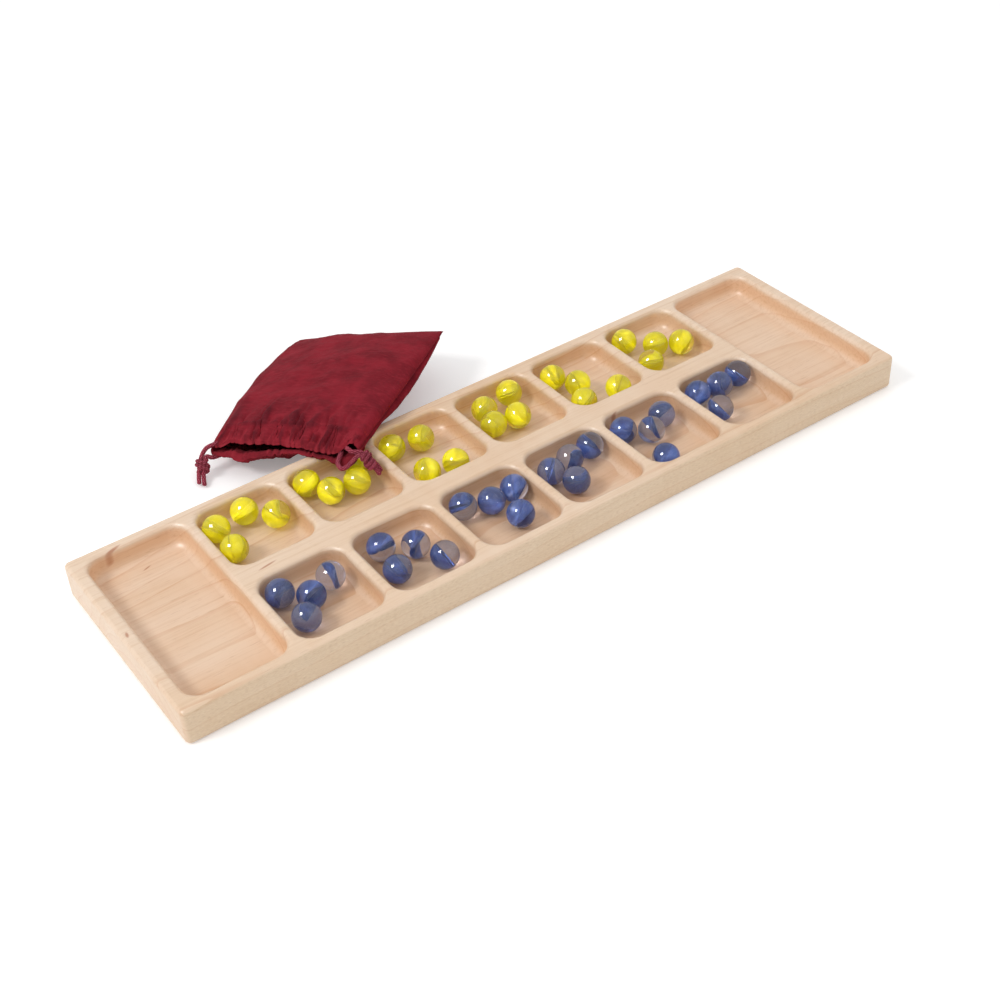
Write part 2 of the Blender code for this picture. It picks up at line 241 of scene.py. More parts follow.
def make_board(wood):
    """Cuts twelve pits and two stores out of the block."""
    block = new_object("board_block", board_mesh(), wood)
    cutters = bpy.data.collections.new("pockets")
    places = [(PIT, ((c - 2.5) * PITCH, s * ROW)) for s in (1, -1) for c in range(6)]
    places += [(STORE, (-STORE_X, 0)), (STORE, (STORE_X, 0))]
    made = []
    for size, (x, y) in places:
        cutter = bpy.data.objects.new("pocket", pocket(*size))
        cutter.location = (x, y, 0)
        cutters.objects.link(cutter)
        made.append(cutter)
    cut = block.modifiers.new("cut", "BOOLEAN")
    cut.operation = "DIFFERENCE"
    cut.solver = "EXACT"
    cut.operand_type = "COLLECTION"
    cut.collection = cutters
    scene.collection.children.link(cutters)
    bpy.context.view_layer.update()
    mesh = bpy.data.meshes.new_from_object(block.evaluated_get(bpy.context.evaluated_depsgraph_get()))
    for cutter in made:
        bpy.data.objects.remove(cutter)
    bpy.data.collections.remove(cutters)
    bpy.data.objects.remove(block)
    board = new_object("maple_board", mesh, wood)
    even = board.modifiers.new("even_shading", "WEIGHTED_NORMAL")
    even.weight = 80
    even.keep_sharp = False
    return board


def maple():
    """Lacquered maple: growth rings, fibres, pores and mineral streaks, greyer outer sides, and painted shade
    in the pockets.
    """
    n = Nodes("lacquered_maple", Roughness=0.45, Coat_Weight=0.25, Coat_Roughness=0.28, Coat_IOR=1.45)
    n.shader.inputs["Specular IOR Level"].default_value = 0.35
    p = n.place()
    x, y, z = n.split(p)
    # growth rings: cylinders round a wandering axis under the board
    wander = n.noise(n.scaled(p, (3.2, 9, 9)), 1.0, 2.0)
    wide = n.noise(n.scaled(p, (7, 26, 26), (3.1, 0.4, 7)), 1.0, 2.0)
    across = n.math("ADD", y, n.math("MULTIPLY", n.math("SUBTRACT", wander, 0.5), 0.075))
    across = n.math("ADD", across, RINGS_BACK)
    deep = n.math("ADD", z, RINGS_UNDER)
    radius = n.math("SQRT", n.math("ADD", n.math("MULTIPLY", across, across), n.math("MULTIPLY", deep, deep)))
    radius = n.math("ADD", radius, n.math("MULTIPLY", wide, 0.008))
    turn = n.math("FRACT", n.math("MULTIPLY", radius, RINGS_PER_METRE))
    line = n.span(turn, 0.86, 0.985)
    line = n.math("MULTIPLY", line, n.span(turn, 1.0, 0.985))
    body = n.span(turn, 0.0, 0.9, kind="LINEAR")
    # fibres, flecks and large patches
    fibre = n.noise(n.scaled(p, (14, 620, 620)), 1.0, 4.0, 0.65)
    pores = n.noise(n.scaled(p, (120, 1500, 1500)), 1.0, 2.0, 0.5)
    patch = n.noise(n.scaled(p, (5, 16, 16), (0, 2.2, 1)), 1.0, 3.0)
    curl = n.noise(n.scaled(p, (60, 18, 18)), 1.0, 2.0, 0.5, 0.6)
    pale = rgb(238, 214, 191)
    warm = rgb(230, 198, 167)
    colour = n.mix(n.span(patch, 0.3, 0.72), pale, warm)
    colour = n.mix(n.math("MULTIPLY", body, 0.16), colour, rgb(222, 186, 150))
    patchy = n.span(patch, 0.35, 0.6, 0.12, 0.44)
    colour = n.mix(n.math("MULTIPLY", line, patchy), colour, rgb(206, 150, 104))
    colour = n.mix(n.span(fibre, 0.42, 0.75, 0.0, 0.42), colour, rgb(208, 168, 126))
    colour = n.mix(n.span(pores, 0.62, 0.74, 0.0, 0.35), colour, rgb(188, 144, 108))
    colour = n.mix(n.span(curl, 0.35, 0.7, 0.0, 0.14), colour, rgb(246, 228, 206))
    for fleck_x, fleck_y, half_long, half_wide in FLECKS:
        dx = n.math("DIVIDE", n.math("SUBTRACT", x, fleck_x), half_long)
        dy = n.math("SUBTRACT", n.math("SUBTRACT", y, fleck_y), n.math("MULTIPLY", dx, FLECK_SLANT))
        dy = n.math("DIVIDE", dy, half_wide)
        far = n.math("ADD", n.math("MULTIPLY", dx, dx), n.math("MULTIPLY", dy, dy))
        colour = n.mix(n.span(far, 1.0, 0.0, 0.0, 0.72), colour, rgb(178, 112, 78))
    # painted shade: the pockets' floors are darkened and warmed a little, and their walls more, as light
    # bouncing between the walls would do
    inside = n.span(z, HEIGHT - 0.0012, HEIGHT - 0.0050)
    slope = n.split(n.add("ShaderNodeTexCoord").outputs["Normal"])[2]
    painted_wall_shade = n.math("MULTIPLY", inside, n.span(slope, 0.98, 0.45))
    ends = n.span(n.math("ABSOLUTE", x), LENGTH / 2 - 0.0015, LENGTH / 2 - 0.0040)
    rows = n.span(n.math("ABSOLUTE", y), WIDTH / 2 - 0.0015, WIDTH / 2 - 0.0040)
    within = n.math("MULTIPLY", ends, rows)
    colour = n.mix(n.math("MULTIPLY", inside, within), colour, (0.985, 0.945, 0.92, 1), "MULTIPLY")
    colour = n.mix(n.math("MULTIPLY", painted_wall_shade, within), colour, (0.98, 0.90, 0.80, 1), "MULTIPLY")
    # the front and back faces are greyer and darker than the top
    normal = n.split(n.add("ShaderNodeTexCoord").outputs["Normal"])
    side = n.span(n.math("ABSOLUTE", normal[1]), 0.6, 1.0, 0.0, 0.35)
    outside = n.math("SUBTRACT", 1.0, within)
    side = n.math("MULTIPLY", side, outside)
    colour = n.mix(side, colour, rgb(216, 194, 158))
    dashes = n.noise(n.scaled(p, (420, 3600, 3600)), 1.0, 2.0, 0.5)
    colour = n.mix(n.math("MULTIPLY", n.span(dashes, 0.52, 0.66), side), colour, rgb(186, 152, 118))
    colour = n.mix(n.math("MULTIPLY", n.span(dashes, 0.46, 0.34), side), colour, rgb(240, 224, 196))
    n.put(colour, n.shader.inputs["Base Color"])
    n.bump(n.math("ADD", n.math("MULTIPLY", fibre, 0.6), pores), 0.12, 0.0002)
    return n.material


board = make_board(maple())
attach(board, "board")
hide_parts("mancala_board")


# Marbles
RADIUS = 0.0080

# Forms of the coloured glass inside: blades, twist, reach as a share of the radius, and half thickness
VANES = [
    (2, 0.3, 0.95, 0.0011),
    (3, 0.6, 0.84, 0.0009),
    (1, 0.5, 0.97, 0.0022),
    (2, 0.9, 0.92, 0.0013),
    (1, 0.9, 0.95, 0.0012),
]


def glass(name, tint, deep, clear):
    """Tinted glass, with a share of it clear and the rest milky."""
    n = Nodes(name, Roughness=0.012, IOR=1.5, Transmission_Weight=clear)
    p = n.place()
    seeds = n.noise(p, 900.0, 2.0)
    colour = n.mix(n.span(seeds, 0.3, 0.8), tint, deep)
    n.put(colour, n.shader.inputs["Base Color"])
    return n.material


def vane_material(name, main, pale, dark, glow):
    """Streaked coloured glass, with a little light of its own for what passes through it."""
    n = Nodes(name, Roughness=0.35)
    p = n.place()
    streaks = n.noise(n.scaled(p, (420, 420, 90)), 1.0, 3.0, 0.5)
    cloud = n.noise(p, 260.0, 2.0)
    colour = n.mix(n.span(streaks, 0.35, 0.7), dark, main)
    colour = n.mix(n.span(cloud, 0.5, 0.8, 0.0, 0.55), colour, pale)
    n.put(colour, n.shader.inputs["Base Color"])
    n.put(colour, n.shader.inputs["Emission Color"])
    n.shader.inputs["Emission Strength"].default_value = glow
    return n.material


def vane_mesh(name, blades, twist, reach, seed, thick):
    """Petals of coloured glass round a marble's axis: each a closed leaf, twisted along the axis."""
    random = np.random.default_rng(seed)
    rows, columns = 22, 13
    bm = bmesh.new()
    for blade in range(blades):
        start = blade / blades * 2 * math.pi + random.uniform(-0.35, 0.35)
        own = reach * random.uniform(0.86, 1.0)
        bend = random.uniform(-0.5, 0.5)
        sides = []
        for side in (1, -1):
            sheet = []
            for i in range(rows + 1):
                z = math.cos(math.pi * i / rows) * RADIUS * 0.93
                room = math.sqrt(max(RADIUS**2 * 0.90 - z * z, 0))
                wide = min(room, RADIUS * own)
                line = []
                for j in range(columns + 1):
                    share = j / columns
                    angle = start + twist * z / RADIUS + bend * share
                    half = thick * (0.25 + math.sin(math.pi * min(share * 0.92 + 0.08, 1))) * (wide / RADIUS)
                    out = Vector((math.cos(angle), math.sin(angle), 0)) * wide * share
                    off = Vector((-math.sin(angle), math.cos(angle), 0)) * half * side
                    line.append(bm.verts.new(out + off + Vector((0, 0, z))))
                sheet.append(line)
            sides.append(sheet)
        for k, sheet in enumerate(sides):
            for i in range(rows):
                for j in range(columns):
                    quad = (sheet[i][j], sheet[i + 1][j], sheet[i + 1][j + 1], sheet[i][j + 1])
                    bm.faces.new(quad if k else quad[::-1])
        first, second = sides
        for j in (0, columns):
            for i in range(rows):
                quad = (first[i][j], first[i + 1][j], second[i + 1][j], second[i][j])
                bm.faces.new(quad if j else quad[::-1])
    bmesh.ops.remove_doubles(bm, verts=bm.verts, dist=0.00002)
    mesh = bpy.data.meshes.new(name)
    bm.to_mesh(mesh)
    bm.free()
    return mesh


def sphere_mesh(name):
    """One marble's ball."""
    bm = bmesh.new()
    bmesh.ops.create_uvsphere(bm, u_segments=48, v_segments=28, radius=RADIUS)
    mesh = bpy.data.meshes.new(name)
    bm.to_mesh(mesh)
    bm.free()
    return mesh


def make_marbles():
    """Dresses each marble's node with a ball and its vanes."""
    yellow_glass = [
        glass("yellow_clear_glass", rgb(250, 242, 112), rgb(246, 238, 96), 0.93),
        glass("yellow_milky_glass", rgb(244, 236, 70), rgb(240, 230, 52), 0.74),
    ]
    blue_glass = [
        glass("blue_clear_glass", rgb(204, 210, 232), rgb(192, 199, 226), 0.97),
        glass("blue_milky_glass", rgb(160, 170, 208), rgb(140, 151, 196), 0.82),
    ]
    yellow = (rgb(230, 222, 8), rgb(240, 234, 56), rgb(220, 210, 2))
    blue = (rgb(78, 104, 164), rgb(124, 148, 200), rgb(52, 72, 128))
    yellow_vane = vane_material("yellow_vane_glass", *yellow, 0.18)
    blue_vane = vane_material("blue_vane_glass", *blue, 0.10)
    random = np.random.default_rng(7)
    ball = {"yellow": sphere_mesh("yellow_ball"), "blue": sphere_mesh("blue_ball")}
    # the yellow marbles have one blade more than the blue, and thicker ones
    sets = (("yellow", yellow_glass, yellow_vane, 1), ("blue", blue_glass, blue_vane, 0))
    for colour, clear, core, more in sets:
        vanes = [
            vane_mesh(f"{colour}_vane_{k}", count + more, twist, reach, 11 + k, thick * (1 + 0.35 * more))
            for k, (count, twist, reach, thick) in enumerate(VANES)
        ]
        for number in range(1, 25):
            node = f"{colour}_marble_{number:02d}"
            low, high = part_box(node)
            centre = (low + high) / 2
            outer = new_object(f"{colour}_glass_{number:02d}", ball[colour].copy(), clear[number % 3 == 1])
            outer.location = centre
            inner = new_object(f"{colour}_vane_{number:02d}", vanes[number * 3 % len(VANES)], core)
            turn = Matrix.Rotation(random.uniform(0, 2 * math.pi), 4, "Z")
            lean = Matrix.Rotation(random.uniform(0.5, 1.57), 4, "X")
            spin = Matrix.Rotation(random.uniform(0, 2 * math.pi), 4, "Z")
            inner.matrix_world = Matrix.Translation(centre) @ turn @ lean @ spin
            for piece in (outer, inner):
                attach(piece, node)
            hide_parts(node)


make_marbles()


# Bag: where its mouth's middle lies and how it is turned, its length, the cord's channel,
# and the height of the left side seam at the mouth
MOUTH_TURN = math.radians(-54.6)
MOUTH_AT = (-0.0972, 0.0836)
BAG_LENGTH = 0.1280
CHANNEL = 0.0100
EDGE_LEFT = 0.0130
AROUND_HALF = 210

# Thickness of the cloth, and the hem's share of the gap between the lips above and below
CLOTH = 0.0009
UPPER_HEM_SHARE, LOWER_HEM_SHARE = 0.26, 0.92

# Sewn line: length of a stitch, from one to the next, and half its thickness at its ends and middle
STITCH, STITCH_PITCH, STITCH_END, STITCH_MIDDLE = 0.0017, 0.0026, 0.00014, 0.00022

# How the gathered lips hang forward and down from an even mouth:
# place across from -1 to 1, then forward and down in millimetres
UPPER_SLUMP = [
    (-1, 0, 0),
    (-0.9, 1.8, 1.3),
    (-0.75, -0.5, -0.4),
    (-0.5, 0.5, 0.4),
    (-0.25, 0.7, 0.5),
    (0, 1.5, 1.1),
    (0.25, 2.5, 1.8),
    (0.5, 3.7, 2.7),
    (0.66, 4.3, 3.1),
    (0.75, 3.6, 2.6),
    (0.82, 0.2, 0.1),
    (0.88, -2.6, -1.8),
    (0.94, -2.0, -1.2),
    (1, 0, 0),
]
LOWER_SLUMP = [
    (-1, 0, 0),
    (-0.85, -1.6, -1.6),
    (-0.72, -3.4, -3.2),
    (-0.6, -2.8, -2.1),
    (-0.42, -3.9, -3.4),
    (-0.25, -4.9, -4.3),
    (-0.05, -6.0, -4.9),
    (0.12, -6.0, -4.8),
    (0.26, -5.0, -4.2),
    (0.38, -4.2, -3.8),
    (0.5, -3.5, -3.1),
    (0.62, -2.6, -2.1),
    (0.75, -0.8, -0.6),
    (1, 0, 0),
]

# Long soft folds on the upper cloth: start, end, half width and depth in millimetres, in the bag's own frame
FOLDS = [
    ((-17.5, 27.5), (-16.4, 8.0), 2.3, -1.05),
    ((-22.5, 33.0), (-21.8, 10.0), 2.6, 0.70),
    ((-12.0, 24.0), (-10.5, 9.0), 2.4, 0.55),
    ((21.0, 27.0), (14.5, 6.5), 2.2, -1.15),
    ((25.5, 29.0), (20.5, 6.0), 2.6, 0.85),
    ((11.5, 23.0), (6.0, 8.0), 2.6, 0.45),
    ((-41.0, 40.0), (-38.0, 14.0), 3.6, -0.75),
    ((-34.0, 34.0), (-33.0, 12.0), 3.0, 0.50),
    ((-12.0, 33.0), (22.0, 31.0), 3.2, 0.45),
    ((-10.0, 28.0), (18.0, 26.0), 2.4, -0.35),
    ((-22.0, 44.0), (24.0, 55.0), 4.2, 0.55),
    ((-16.0, 38.0), (26.0, 47.0), 3.4, -0.40),
    ((2.0, 78.0), (30.0, 79.0), 7.5, -0.80),
    ((-24.0, 66.0), (6.0, 62.0), 6.0, 0.50),
    ((-36.0, 84.0), (-20.0, 104.0), 6.5, -0.45),
    ((30.0, 98.0), (44.0, 60.0), 5.0, 0.55),
    ((36.0, 26.0), (33.0, 9.0), 2.6, -0.60),
    ((40.0, 30.0), (38.5, 9.0), 2.2, 0.50),
    ((1.5, 20.0), (-3.0, 7.5), 2.0, -0.60),
    ((-29.0, 22.0), (-27.5, 8.0), 1.9, -0.55),
]


def to_world(x, y, z):
    c, s = math.cos(MOUTH_TURN), math.sin(MOUTH_TURN)
    return np.stack([MOUTH_AT[0] + c * x - s * y, MOUTH_AT[1] + s * x + c * y, z], -1)


def marble_centres():
    """The yellow marbles that lie near or under the bag."""
    return [sum(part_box(f"yellow_marble_{number:02d}"), Vector()) / 2 for number in range(5, 13)]


def rest_height(x, y, centres):
    """What the lower cloth lies on: the floor, the board's rim and the marbles."""
    world = to_world(x, y, np.zeros_like(x))
    behind = np.maximum(world[..., 1] - 0.078, 0)
    height = np.maximum(HEIGHT + 0.0004 - behind * 0.9, 0.0002)
    for centre in centres:
        off = (world[..., 0] - centre[0]) ** 2 + (world[..., 1] - centre[1]) ** 2
        height = np.maximum(height, centre[2] + 0.0087 - off / 0.0172)
    return height


def soft_max(a, b):
    """The larger of two, with a round change from one to the other."""
    soft = 0.001
    return (a + b + np.sqrt((a - b) ** 2 + soft**2)) / 2


def waves(seed, count, short, long):
    """An uneven field with no pattern in it, from many long waves that cross each other."""
    random = np.random.default_rng(seed)
    turns = random.uniform(0, 2 * np.pi, count)
    sizes = random.uniform(short, long, count)
    starts = random.uniform(0, 2 * np.pi, count)

    def field(x, y):
        total = 0
        for turn, size, start in zip(turns, sizes, starts):
            total = total + np.cos(2 * np.pi * (x * math.cos(turn) + y * math.sin(turn)) / size + start)
        return total / math.sqrt(count / 2)

    return field


def gathers(x, seed, spacing, sharp=True):
    """Round crests with valleys between them, unevenly spaced."""
    random = np.random.default_rng(seed)
    warp = 0
    for size in (0.013, 0.019, 0.031):
        warp = warp + random.uniform(0.5, 1) * np.sin(2 * np.pi * x / size + random.uniform(0, 6.3))
    strength = 1 + 0.50 * np.sin(2 * np.pi * x / 0.023 + random.uniform(0, 6.3))
    if not sharp:
        return np.sin(2 * np.pi * x / spacing + 1.6 * warp) * strength * 0.8
    return (2 * np.abs(np.sin(np.pi * x / spacing + 1.15 * warp)) ** 0.9 - 1.2) * strength


def set_crest(mesh, values):
    """Keeps how far each point stands out, for painted highlights and painted shade in the cotton's colour.
    """
    layer = mesh.attributes.new("crest", "FLOAT", "POINT")
    layer.data.foreach_set("value", values.ravel().astype(np.float32))


def step(value, low, high):
    """From 0 to 1, smoothly, while a value goes from low to high."""
    share = np.clip((value - low) / (high - low), 0, 1)
    return share * share * (3 - 2 * share)


def relief(x, d, across, upper):
    """How far the cloth stands out from a smooth bag, at x across and d from the mouth."""
    edge = step(1 - np.abs(across), 0.0, 0.10)
    seed = 20 if upper else 40
    hem = np.exp(-((d / 0.0098) ** 4))
    lean = 0.30 * np.sin(2 * np.pi * x / 0.017 + seed)
    near = gathers(x + lean * d, seed, 0.0047)
    near = near + 0.45 * gathers(x - 0.40 * d + 0.0013, seed + 1, 0.0071, False)
    calm_side = 1 if upper else 1 - 0.7 * step(across, 0.6, 0.95)
    total = (0.00118 if upper else 0.00082) * hem * near * calm_side
    total = total + 0.00045 * np.exp(-(((d - 0.0050) / 0.0034) ** 2))
    total = total - 0.00075 * np.exp(-(((d - CHANNEL) / 0.0010) ** 2))
    beyond = np.exp(-(((d - 0.0128) / 0.0050) ** 2))
    total = total + 0.00070 * beyond * gathers(x + 0.22 * d, seed + 2, 0.0061, False)
    further = np.exp(-(((d - 0.0150) / 0.0130) ** 2))
    total = total + 0.00060 * further * gathers(x - 0.10 * d, seed + 3, 0.0127, False)
    if upper:
        for (x0, y0), (x1, y1), half, depth in FOLDS:
            a = np.array((x0, y0)) / 1000
            way = np.array((x1, y1)) / 1000 - a
            along = ((x - a[0]) * way[0] + (d - a[1]) * way[1]) / (way @ way)
            off = (x - a[0]) * way[1] - (d - a[1]) * way[0]
            off = off / math.sqrt(way @ way) + 0.0012 * np.sin(along * 4 + x0)
            ends = step(along, -0.25, 0.30) * (1 - step(along, 0.75, 1.20))
            total = total + depth / 1000 * ends * np.exp(-((off / (half / 1000)) ** 2))
    calm = step(d, 0.004, 0.020)
    total = total + calm * 0.00040 * waves(seed + 5, 26, 0.022, 0.060)(x, d)
    total = total + calm * 0.00016 * waves(seed + 6, 30, 0.009, 0.020)(x, d)
    total = total + 0.00005 * waves(seed + 7, 30, 0.0035, 0.0080)(x, d)
    return total * edge


def slump(across, table):
    """How far a lip hangs forward and down at each place across."""
    places, forward, down = (np.array(column, float) for column in zip(*table))
    return np.interp(across, places, forward) / 1000, np.interp(across, places, down) / 1000


def bag_skin(along, turn):
    """The outer cloth before its creases: x, y and z in the bag's own frame."""
    across = np.cos(turn)
    sine = np.sin(turn)
    lean = np.sign(sine) * np.abs(sine) ** 0.75
    upper = sine >= 0
    half = (0.0950 + 0.0070 * along) / 2 + 0.0035 * np.sin(np.pi * along)
    full = np.sqrt(np.maximum(np.sin(np.pi * np.minimum(along, 1) ** 0.8), 0))
    close = 1 - along**6
    left = EDGE_LEFT - 0.0060 * along
    middle = left + (0.0300 + 0.0010 * along - left) * (1 + across) / 2
    x = half * across
    y = along * BAG_LENGTH
    early = (1 - along) ** 4
    top = 0.0046 * close + 0.0104 * full
    drop = 0.0174 * full * (0.36 + 0.64 * step(along, 0.03, 0.32))
    under = (0.0046 * close + drop) * (1 - 0.62 * step(across, 0.50, 0.95) * step(along, 0.02, 0.20))
    z = middle + np.where(upper, top, under) * lean
    y = y + np.where(upper, 0.0010, 0.0065) * lean * early
    # the right side seam pulls in, and the lower cloth bellies out past it
    side = step(across, 0.80, 1.0)
    swell = np.sin(np.pi * np.clip(along, 0, 1)) ** 0.7
    upper_pull = 0.0022 * side * swell
    belly = step(-turn_from_side(turn), 0.02, 0.30) * step(-turn_from_side(turn), 1.5, 0.5)
    pinch = 0.0030 * np.exp(-((turn_from_side(turn) / 0.065) ** 2)) * swell**0.4
    tuck = 0.0030 * np.exp(-(((along - 0.05) / 0.07) ** 2)) + 0.0022 * np.exp(-(((along - 0.26) / 0.10) ** 2))
    tuck = tuck * step(-turn_from_side(turn), 0.0, 0.25) * step(across, 0.45, 0.95)
    lower_pull = 0.0026 * side * swell * (1 - belly) - 0.0004 * belly * swell
    x = x - np.where(upper, upper_pull, lower_pull) - pinch - tuck
    fall = np.exp(-((along / 0.075) ** 2))
    for mask, table in ((upper, UPPER_SLUMP), (~upper, LOWER_SLUMP)):
        forward, down = slump(across, table)
        y = y - np.where(mask, forward * fall, 0)
        z = z - np.where(mask, down * fall, 0)
    return x, y, z


def turn_from_side(turn):
    """Angle from the right side seam, positive on the upper cloth."""
    return (turn + np.pi) % (2 * np.pi) - np.pi


def normals(points):
    """Outward directions of a skin whose rows run along the bag and whose columns run round it."""
    down_rows = np.gradient(points, axis=0)
    round_it = (np.roll(points, -1, 1) - np.roll(points, 1, 1)) / 2
    out = np.cross(round_it, down_rows)
    return out / np.maximum(np.linalg.norm(out, axis=-1, keepdims=True), 1e-12)


def turns(count):
    """Angles round the bag, close together at the sides and fairly even across."""
    share = np.arange(count) / count
    half = np.pi * share * 0.5 + 0.5 * np.arccos(1 - 2 * share)
    return np.concatenate([half, half + np.pi])


def hem_thickness(lips, across, upper, d, along, count):
    """Thick gathered hems with the cord inside, and thinner cloth beyond."""
    gap = np.interp(across[0], across[0][:count][::-1], lips[:count, 2][::-1])
    under = np.interp(across[0], across[0][count:], lips[count:, 2])
    gap = np.clip(gap - under, 0.0016, 0.0100)
    hem = np.where(upper, UPPER_HEM_SHARE, LOWER_HEM_SHARE) * gap[None, :]
    thick = CLOTH + (np.maximum(hem, 0.0010) - CLOTH) * (1 - step(d, CHANNEL * 0.75, CHANNEL * 1.6))
    return thick * (1 - 0.45 * step(along, 0.8, 1.0))


def rolled_lip(first_out, first_in):
    """The rings that take the cloth round the mouth's edge, from outside to inside."""
    middle = (first_in + first_out) / 2
    arm = (first_out - first_in) / 2
    forward = np.array([0, -1.0, 0])
    roll = []
    for angle in np.linspace(0, np.pi, 11)[1:-1]:
        size = np.linalg.norm(arm, axis=-1, keepdims=True)
        roll.append(middle + arm * math.cos(angle) + forward * size * math.sin(angle) * 0.85)
    return np.array(roll)


def make_bag(cloth, thread):
    """The bag as one closed shell of cloth, and the threads that sew its cord channel."""
    centres = marble_centres()
    near_rows = np.linspace(0, 0.30, 110, endpoint=False)
    rows = np.concatenate([near_rows, np.linspace(0.30, 0.985, 130), [0.991, 0.996, 1.0]])
    columns = turns(AROUND_HALF)
    along, turn = np.meshgrid(rows, columns, indexing="ij")
    x, y, z = bag_skin(along, turn)
    z = soft_max(z, rest_height(x, y, centres))
    smooth_skin = np.stack([x, y, z], -1)
    out = normals(smooth_skin)
    across = np.cos(turn)
    upper = np.sin(turn) >= 0
    d = along * BAG_LENGTH
    fade = 1 - step(along, 0.93, 1.0)
    amount = np.where(upper, relief(x, d, across, True), relief(x, d, across, False)) * fade
    skin_points = smooth_skin + out * amount[..., None]
    # the lips are scalloped by the gathers
    scallop = np.exp(-((d / 0.0022) ** 2)) * amount
    skin_points[..., 1] -= scallop * np.where(upper, 1.3, 0.7)
    floor = rest_height(skin_points[..., 0], skin_points[..., 1], centres)
    skin_points[..., 2] = np.maximum(skin_points[..., 2], floor)
    out = normals(skin_points)

    count = len(columns) // 2
    thick = hem_thickness(skin_points[0], across, upper, d, along, count)
    keep = along[:, 0] <= 0.95
    inner = (skin_points - out * thick[..., None])[keep]
    roll = rolled_lip(skin_points[0], inner[0])
    rings = np.concatenate([skin_points[::-1], roll, inner])
    world = to_world(rings[..., 0], rings[..., 1], rings[..., 2])
    mesh = grid_mesh("cotton_bag", world, wrap_v=True)
    # for the colour: crests get a painted highlight, and valleys and the side seam get painted shade
    shade = amount * (1 - 0.7 * step(d, 0.016, 0.034))
    shade = shade - 0.0016 * np.exp(-((turn_from_side(turn) / 0.045) ** 2)) * fade
    set_crest(mesh, np.concatenate([shade[::-1], np.repeat(shade[:1], len(roll), 0), shade[keep]]))
    close_end(mesh, world)
    bag = new_object("cotton_bag", mesh, cloth)
    stitching = new_object("hem_stitches", stitches(skin_points, out, d, count), thread)
    return bag, stitching


def close_end(mesh, world):
    """Sews the last ring shut: each point of the upper cloth meets its partner on the lower cloth."""
    columns = world.shape[1]
    bm = bmesh.new()
    bm.from_mesh(mesh)
    bm.verts.ensure_lookup_table()
    last = (world.shape[0] - 1) * columns
    for start in (0, last):
        for i in range(1, columns // 2):
            a, b = bm.verts[start + i], bm.verts[start + columns - i]
            middle = (a.co + b.co) / 2
            a.co = middle
            b.co = middle
    bmesh.ops.remove_doubles(bm, verts=bm.verts, dist=0.00001)
    bmesh.ops.recalc_face_normals(bm, faces=bm.faces)
    bm.to_mesh(mesh)
    bm.free()


def stitches(points, out, d, count):
    """Short threads along the channel's sewn line, on the upper and the lower cloth."""
    row = int(np.argmin(np.abs(d[:, 0] - CHANNEL)))
    bm = bmesh.new()
    for columns in (slice(0, count), slice(count, 2 * count)):
        line = points[row, columns] + out[row, columns] * 0.00012
        order = np.argsort(line[:, 0])
        line = line[order]
        for start in np.arange(-0.0450, 0.0440, STITCH_PITCH):
            x = np.array([start + STITCH * share for share in (0, 0.3, 0.7, 1)])
            y = np.interp(x, line[:, 0], line[:, 1])
            z = np.interp(x, line[:, 0], line[:, 2]) + np.array([-0.0002, 0.00008, 0.00008, -0.0002])
            world = to_world(x, y, z)
            rings = []
            for k, centre in enumerate(world):
                size = STITCH_END if k in (0, 3) else STITCH_MIDDLE
                ring_points = []
                for angle in np.linspace(0, 2 * np.pi, 7)[:-1]:
                    side = np.array([-math.sin(MOUTH_TURN), math.cos(MOUTH_TURN), 0]) * math.cos(angle)
                    side = side + np.array([0, 0, 1]) * math.sin(angle)
                    ring_points.append(bm.verts.new(centre + side * size))
                rings.append(ring_points)
            for low, high in zip(rings, rings[1:]):
                for i in range(6):
                    bm.faces.new((low[i], low[(i + 1) % 6], high[(i + 1) % 6], high[i]))
            bm.faces.new(rings[0])
            bm.faces.new(rings[-1])
    bmesh.ops.recalc_face_normals(bm, faces=bm.faces)
    mesh = bpy.data.meshes.new("hem_stitches")
    bm.to_mesh(mesh)
    bm.free()
    return mesh


